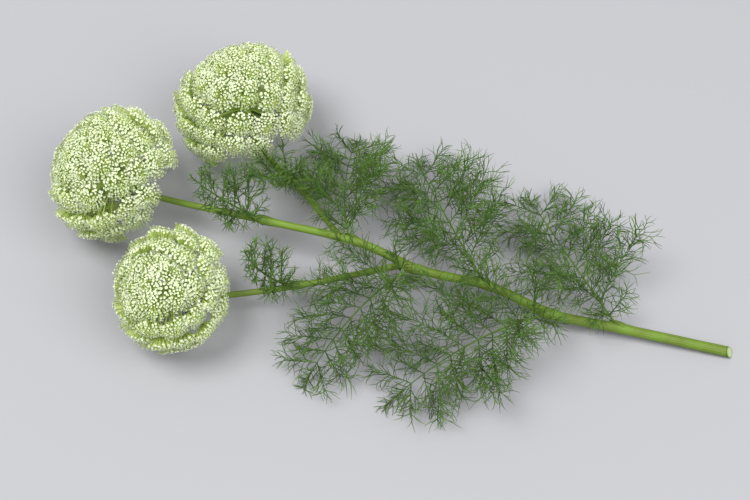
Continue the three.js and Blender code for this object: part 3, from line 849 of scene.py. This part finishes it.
# %% The bracts under an umbel
Rib = namedtuple("Rib", "sides radii along")
BRACT_RIB = Rib(5, (0.55, 0.2), (0, 0.8))
BRACT_STATIONS = np.linspace(0, 1, 8)
BRACTS = 12
BRACT_LENGTH = 26
SHORT_BRACT = 0.75
BRACT_SCATTER = 0.15
BRACT_ANGLE = radians(128)
BRACT_ROOT_ANGLE = radians(112)
BRACT_SAG = 4
TWIG_FEET = np.array([0.4, 0.5, 0.66, 0.78])
TWIG_SPANS = np.array([0.42, 0.4, 0.3, 0.26])
TWIG_TURNS = np.array([[1], [-1], [1], [-1]])
TWIG_SPLAY = 0.62
TWIG_SCATTER = 0.1
TWIG_RADIUS = 0.34
TWIG_STEP = 0.01


def bezier(start, control, end):
    """A function of a share that runs from start to end, drawn towards control."""

    def at(share):
        share = np.asarray(share)[..., None]
        return (1 - share) ** 2 * start + 2 * share * (1 - share) * control + share**2 * end

    return at


def rib(kind, path, tone=0.0):
    """One tube along a path, whose radius and note change from root to tip."""
    share = np.linspace(0, 1, len(path))
    return tubes(path[None], blend(*kind.radii, share), kind.sides, blend(*kind.along, share), tone)


def bracts(umbel):
    frame_of = umbel_frame(umbel)
    middle, axis = frame_of[:2]
    parts = []
    for k in range(BRACTS):
        around = 2 * pi * (k / 2 + BRACT_SCATTER * scatter(k // 2, umbel.salt + 5)) / (BRACTS / 2)
        length = BRACT_LENGTH * (SHORT_BRACT if k % 2 else 1)
        root = middle + on_dome(frame_of, BRACT_ROOT_ANGLE, around) * (RECEPTACLE_RADIUS - 1)
        tip = root + on_dome(frame_of, BRACT_ANGLE, around) * length
        line = bezier(root, blend(root, tip, 0.5) - axis * BRACT_SAG, tip)
        parts.append(rib(BRACT_RIB, line(BRACT_STATIONS)))
        feet = line(TWIG_FEET)
        ahead = unit(line(TWIG_FEET + TWIG_STEP) - feet)
        beside = unit(np.cross(ahead, axis)) * TWIG_TURNS
        way = unit(ahead + beside * TWIG_SPLAY + rng.normal(0, TWIG_SCATTER, ahead.shape))
        parts += threads(feet, way, length * TWIG_SPANS, TWIG_RADIUS, 2)
    return parts


print("bracts under each umbel:", BRACTS)

# %% [markdown]
# Each umbel becomes four pieces, one for each finish: petals, hearts, rays with their pedicels, and bracts.
# A piece with one finish is easy to recolour, and its pattern bakes cleanly. The oldest and largest florets
# are at the rim of their umbellet, and the youngest ones in the middle are only half open, so a floret's age
# is worked out from how far out it stands, with some scatter.

# %% Grow the umbels
FLORET_RADIUS = 1.09
SIZE_IN_BUD = 0.7
SIZE_SCATTER = (0.88, 1.12)
RIM_GROWTH = 0.22
YOUNGEST = 0.4
AGE_TO_RIM = 1.4
AGE_SCATTER = 0.25
OPENING_RATE = 1.5
OPENING_DELAY = 0.25

for umbel in UMBELS:
    name = umbel.name
    umbellets = umbellet_places(umbel)
    centre, facing, q = umbel_florets(umbellets)
    age = q * AGE_TO_RIM + YOUNGEST + rng.normal(0, AGE_SCATTER, q.shape)
    opening = np.clip(age * OPENING_RATE - OPENING_DELAY, 0, 1).ravel()
    at_rim = 1 + RIM_GROWTH * q.ravel() ** RIM_NARROWNESS
    size = FLORET_RADIUS * blend(SIZE_IN_BUD, 1.0, opening) * at_rim * rng.uniform(*SIZE_SCATTER, q.size)
    tone = rng.uniform(-1, 1, q.size)
    turn = rng.uniform(0, 2 * np.pi, q.size)
    florets = centre.reshape(-1, 3), facing.reshape(-1, 3), size
    piece(f"{name}_petals", [petals(*florets, opening, turn, tone)], PETAL, "umbel", name)
    piece(f"{name}_hearts", [hearts(*florets, tone)], HEART, "umbel", name)
    green = pedicels(umbellets, centre, facing, q) + rays(umbel, umbellets) + [receptacle(umbel)]
    piece(f"{name}_rays", green, RAY_SKIN, "umbel", name)
    piece(f"{name}_bracts", bracts(umbel), THREAD, "leaf", name)

# %% [markdown]
# One leaf clasps the stem at each node beyond the butt, and a small one sits on each side stalk. The first
# five reach down to the table, and the other three stand up among the heads. `side` is the angle round the
# stalk at which a leaf springs from it, and `arch` is how far its midrib is drawn up. The midrib starts
# inside the sheath, at the same place as on the solids, whose sheaths have six flat sides.

# %% The leaves and their midribs
Leaf = namedtuple("Leaf", "on node side tip arch")
LEAVES = [
    Leaf("stem", 1, 0, (108, 106, 0.4), 20),
    Leaf("stem", 2, 180, (52, -112, 0.4), 24),
    Leaf("stem", 3, 0, (8, 112, 0.4), 24),
    Leaf("stem", 4, 190, (-14, -118, 0.4), 18),
    Leaf("stem", 5, -10, (-46, 116, 0.4), 14),
    Leaf("stem", 6, 110, (-134, -18, 98), 0),
    Leaf("umbel_left", 1, 70, (-86, 0, 86), 0),
    Leaf("umbel_right", 1, 100, (-76, -60, 86), 0),
]
LEAF_SET_OFF = 12
SHEATH_LENGTH = 12
SHEATH_WALL = 0.9
SHEATH_SPREAD = radians(100)
SHEATH_SIDES = 6
MIDRIB_FROM = 0.75
MIDRIB_SINK = 0.6
ARCH_SHARE = 0.4


def leaf_base(leaf):
    """The stalk's middle where a leaf clasps it, the ways ahead and outward, and its radius."""
    line, radius = (main_line, main_radius) if leaf.on == "stem" else (side_lines[leaf.on], side_radius)
    node = np.array(float(leaf.node))
    ahead = ahead_on(line, node)
    level, upright = sideways(ahead)
    side = radians(leaf.side)
    return line(node), ahead, upright * sin(side) - level * cos(side), float(radius(node))


def midrib_line(leaf):
    centre, ahead, outward, radius = leaf_base(leaf)
    inner = (radius + GAP) / cos(SHEATH_SPREAD / SHEATH_SIDES)
    start = centre + ahead * MIDRIB_FROM * SHEATH_LENGTH + outward * (inner + MIDRIB_SINK * SHEATH_WALL)
    end = np.array(leaf.tip)
    return bezier(start, blend(start, end, ARCH_SHARE) + ahead * LEAF_SET_OFF + UP * leaf.arch, end)


print("the first midrib starts at", midrib_line(LEAVES[0])(0).round(1))

# %% [markdown]
# A leaf is divided three times: a midrib bears pinnae in pairs, a pinna bears pinnules, and a pinnule forks
# into threads. Pinnules stand out on all sides of a pinna, which gives the leaf its bushy look. Long
# pinnules fork twice and the others once, which keeps all the last stretches near one length.

# %% One pinna
PINNA_RIB = Rib(4, (0.5, 0.3), (0.2, 0.7))
PINNA_STATIONS = np.linspace(0, 1, 7)
PINNA_BOW = 0.07
PINNA_SAG = (-0.04, 0.05)
PINNULE_SPACING = 2.5
PINNULE_ROOM = 0.9
FEET_FROM = 0.08
FEET_SHARE = 0.92
FEET_SCATTER = 0.02
PINNULE_ANGLE = (0.78, 0.18)
PINNULE_ROLL = 0.85
PINNULE_REACH = 0.62
LONGEST_PINNULE = 29
PINNULE_TAPER = (1.0, 0.65)
PINNULE_SCATTER = (0.75, 1.15)
TWICE_FORKED = 17
THREAD_RADIUS = 0.37


def pinna(start, way, above, reach):
    beside = unit(np.cross(above, way))
    bow = beside * rng.normal(0, PINNA_BOW) * reach + UP * rng.normal(*PINNA_SAG) * reach
    share = PINNA_STATIONS[:, None]
    path = start + way * reach * share + bow * share**2
    path[:, 2] = np.maximum(path[:, 2], PINNA_RIB.radii[0])
    parts = [rib(PINNA_RIB, path, rng.uniform(-1, 1))]
    count = max(int(reach * PINNULE_ROOM / PINNULE_SPACING), 2)
    feet = np.repeat((np.arange(count) + 0.5) / count * FEET_SHARE + FEET_FROM, 2)
    feet = np.clip(feet + rng.normal(0, FEET_SCATTER, feet.shape), 0, 1)
    at = np.stack([np.interp(feet, PINNA_STATIONS, path[:, c]) for c in range(3)], axis=1)
    angle = rng.normal(*PINNULE_ANGLE, feet.shape)
    roll = rng.normal(0, PINNULE_ROLL, feet.shape)
    side = beside * np.tile([-1, 1], count)[:, None]
    ahead = swing(way, swing(side, np.cross(way, beside), roll), angle)
    longest = min(PINNULE_REACH * reach, LONGEST_PINNULE)
    span = longest * blend(*PINNULE_TAPER, feet) * rng.uniform(*PINNULE_SCATTER, feet.shape)
    for generations, chosen in ((3, span > TWICE_FORKED), (2, span <= TWICE_FORKED)):
        if chosen.any():
            parts += threads(at[chosen], ahead[chosen], span[chosen], THREAD_RADIUS, generations)
    return parts


print("pinnules fork twice from", TWICE_FORKED, "mm on")

# %% [markdown]
# The main pinnae stand as on the solids, at the same feet and angles, raised and lowered by turns. Between
# them stand lower, shorter pairs, and one short pair spreads like a collar at the sheath. The two ends of
# the midrib bear pinnules of their own. Threads set straight on the midrib would make it a bottle brush.

# %% The pinnae of a leaf
Pair = namedtuple("Pair", "reach angle lean")
MAIN = Pair(1, radians(62), 0)
BETWEEN = Pair(0.75, radians(62), -0.45)
COLLAR = Pair(0.5, radians(84), 0.1)
LEAF_PAIRS = 5
PINNAE_FROM = 0.04
PINNAE_ALONG = 0.86
PINNA_REACH = 0.48
PINNA_TAPER = 0.62
PINNA_SCATTER = 0.12
PINNA_LIFT = radians(46)
TIP_LIFT = radians(8)
PINNA_SWAY = radians(16)
SWAY_LAG = 1.2
ARCH_STEPS = 400
BARE_ENDS = (0.02, 0.2), (0.84, 1.0)


def leaf_threads(leaf, salt):
    arch = midrib_line(leaf)
    share = np.linspace(0, 1, ARCH_STEPS)
    travelled = np.append(0, np.cumsum(np.linalg.norm(np.diff(arch(share), axis=0), axis=1)))
    length = travelled[-1]
    parts = []
    for number in range(-1, 2 * LEAF_PAIRS - 1):
        pair = COLLAR if number < 0 else BETWEEN if number % 2 else MAIN
        place = (number / 2 + 0.5) / LEAF_PAIRS
        foot = length * (PINNAE_FROM + PINNAE_ALONG * place)
        at = np.interp(foot, travelled, share)
        ahead = ahead_on(arch, at)
        beside, above = sideways(ahead)
        phase = np.pi * (foot - PINNAE_FROM * length) * LEAF_PAIRS / (PINNAE_ALONG * length)
        for sign in (-1, 1):
            size = (1 - PINNA_TAPER * place) * (1 + PINNA_SCATTER * scatter(number / 2, salt + sign))
            tilt = blend(PINNA_LIFT, TIP_LIFT, foot / length) + pair.lean
            tilt += PINNA_SWAY * sin(phase + (0 if sign > 0 else SWAY_LAG))
            out = beside * sign * cos(tilt) + above * sin(tilt)
            way = ahead * cos(pair.angle) + out * sin(pair.angle)
            parts += pinna(arch(at), way, above, PINNA_REACH * length * size * pair.reach)
    for stretch in BARE_ENDS:
        start, end = arch(stretch)
        parts += pinna(start, unit(end - start), above, np.linalg.norm(end - start))
    return parts


print("pairs of pinnae on each leaf:", 2 * LEAF_PAIRS)

# %% [markdown]
# The base of each leaf is a sheath that clasps the stalk, widest at the node and drawn in to the midrib. It
# is a thin shell: an outer and an inner grid of corners, joined at the edges. Fine veins run up it. Its base
# is thin and sunk into the stem, so it seems to run into it. A solidify modifier could give the shell a
# wall, but not one that thins out towards its edges.

# %% The clasping sheath
ROWS = 14
COLUMNS = 41
SHEATH_TOP = radians(16)
SHEATH_DRAWN_IN = 1.6
EDGE_THINNING = 0.75
END_WALL = 0.35
WALL_SKEW = 0.6
VEINS = 9
VEIN_HEIGHT = 0.06
CLEARANCE = 0.25
WAIST = 0.3
FLARE = 0.6
BASE_SINK = 0.45
TOP_ALONG = 0.2


def end_walls():
    """Triangles that close the shell along its base and its top."""
    number = np.arange(COLUMNS)
    walls = []
    for row, order in ((0, 1), (ROWS - 1, -1)):
        outer = row * 2 * COLUMNS + number
        inner = (2 * row + 2) * COLUMNS - 1 - number
        a, b, c, d = outer[:-1], outer[1:], inner[:-1], inner[1:]
        walls += [np.stack([a, d, b][::order], axis=-1), np.stack([a, c, d][::order], axis=-1)]
    return walls


def sheath(leaf):
    """A veined shell. Each row of corners goes round the outer face and comes back on the inner one."""
    centre, ahead, outward, radius = leaf_base(leaf)
    up = np.linspace(0, 1, ROWS)[:, None]
    side = np.linspace(-1, 1, COLUMNS)
    angle = blend(SHEATH_SPREAD, SHEATH_TOP, up**SHEATH_DRAWN_IN) * side
    ring = swing(outward, np.cross(ahead, outward), angle)
    wall = SHEATH_WALL * (1 - EDGE_THINNING * side**4) * blend(END_WALL, 1, np.sin(np.pi * up) ** WALL_SKEW)
    veins = np.cos(side * VEINS * np.pi)
    inner = radius + CLEARANCE - WAIST * up + FLARE * up**3 - BASE_SINK * (1 - up) ** 6
    middle = centre + ahead * (up * SHEATH_LENGTH)[..., None]
    outside = middle + ring * (inner + (wall + VEIN_HEIGHT * veins))[..., None]
    inside = middle + ring * inner[..., None]
    corners = np.concatenate([outside, inside[:, ::-1]], axis=1).reshape(-1, 3)
    walls = np.concatenate([ring_walls(1, ROWS, 2 * COLUMNS), *end_walls()])
    along = np.broadcast_to(TOP_ALONG * up, (ROWS, 2 * COLUMNS)).ravel()
    return Part(corners, walls, along, np.tile(np.append(veins, np.zeros(COLUMNS)), ROWS))


print("corners in a sheath:", 2 * ROWS * COLUMNS)

# %% [markdown]
# The midrib goes on from the sheath, nearly as pale as the stem, and darkens to the green of the threads.
# The two share a finish, so they are one piece, and a leaf's pinnae are the other.

# %% Grow the leaves
MIDRIB = Rib(6, (1.0, 0.35), (TOP_ALONG, 1.0))
MIDRIB_STATIONS = np.linspace(0, 1, 24)
FIRST_SALT = 100
SALT_STEP = 10

for number, leaf in enumerate(LEAVES):
    name = f"leaf_{number + 1}"
    midrib = rib(MIDRIB, midrib_line(leaf)(MIDRIB_STATIONS))
    piece(f"{name}_threads", leaf_threads(leaf, FIRST_SALT + SALT_STEP * number), THREAD, "leaf", name)
    piece(f"{name}_sheath", [sheath(leaf), midrib], SHEATH, "leaf", name)

# %% [markdown]
# A plain pale floor carries the stem. It is no part of the plant, so it is put on the stage, and it lies a
# hair below zero, so that it doesn't shine through where a leaf lies flat on it.

# %% The floor
FLOOR_SIZE = 12
FLOOR_DROP = 0.0002

floor_finish = bpy.data.materials.new("pale floor")
floor_finish.use_nodes = True
floor_shader = floor_finish.node_tree.nodes["Principled BSDF"]
floor_shader.inputs["Base Color"].default_value = (0.345, 0.345, 0.358, 1)
floor_shader.inputs["Roughness"].default_value = 0.9
bpy.ops.mesh.primitive_plane_add(size=FLOOR_SIZE, location=(0, 0, -FLOOR_DROP))
floor = bpy.context.object
floor.name = "floor"
floor.data.materials.append(floor_finish)
print("floor:", FLOOR_SIZE, "m across")

# %% [markdown]
# Soft light falls on the stem from a large lamp high on the left, with a weaker one on the right to open the
# shadows, and a pale sky all round. A small bright lamp would draw a hard shadow under every thread.

# %% The lamps and the sky
def lamp(name, place, size, power):
    """A round lamp that looks at the middle of the stem."""
    data = bpy.data.lights.new(name, "AREA")
    data.shape, data.size, data.energy = "DISK", size, power
    made = bpy.data.objects.new(name, data)
    made.location = place
    made.rotation_euler = (-made.location).to_track_quat("-Z", "Y").to_euler()
    scene.collection.objects.link(made)
    print(f"{name}: {power} watts, {size} m across")


lamp("key_lamp", place=(-1.1, -0.6, 3.2), size=1.9, power=108)
lamp("fill_lamp", place=(2.0, -0.6, 2.6), size=2.6, power=75)
world = bpy.data.worlds.new("studio")
scene.world = world
world.use_nodes = True
sky = world.node_tree.nodes["Background"]
sky.inputs["Color"].default_value = (0.75, 0.76, 0.8, 1)
sky.inputs["Strength"].default_value = 0.7
scene.view_settings.view_transform = "Standard"

# %% [markdown]
# The camera looks down on the lying stem, because the photograph looks square on to the standing one. It is
# placed by two angles and a distance from its target, which are easier to change than three coordinates.

# %% The camera
AZIMUTH = radians(18)
ELEVATION = radians(60)
DISTANCE = 1.16
TARGET = Vector((-0.01, 0.0, 0.03))

camera_data = bpy.data.cameras.new("camera")
camera_data.lens = 70
camera = bpy.data.objects.new("camera", camera_data)
scene.collection.objects.link(camera)
scene.camera = camera
to_right, to_front = sin(AZIMUTH) * cos(ELEVATION), cos(AZIMUTH) * cos(ELEVATION)
back = Vector((to_right, -to_front, sin(ELEVATION)))
camera.location = TARGET + back * DISTANCE
camera.rotation_euler = (-back).to_track_quat("-Z", "Y").to_euler()
print("camera at", [round(c, 3) for c in camera.location])
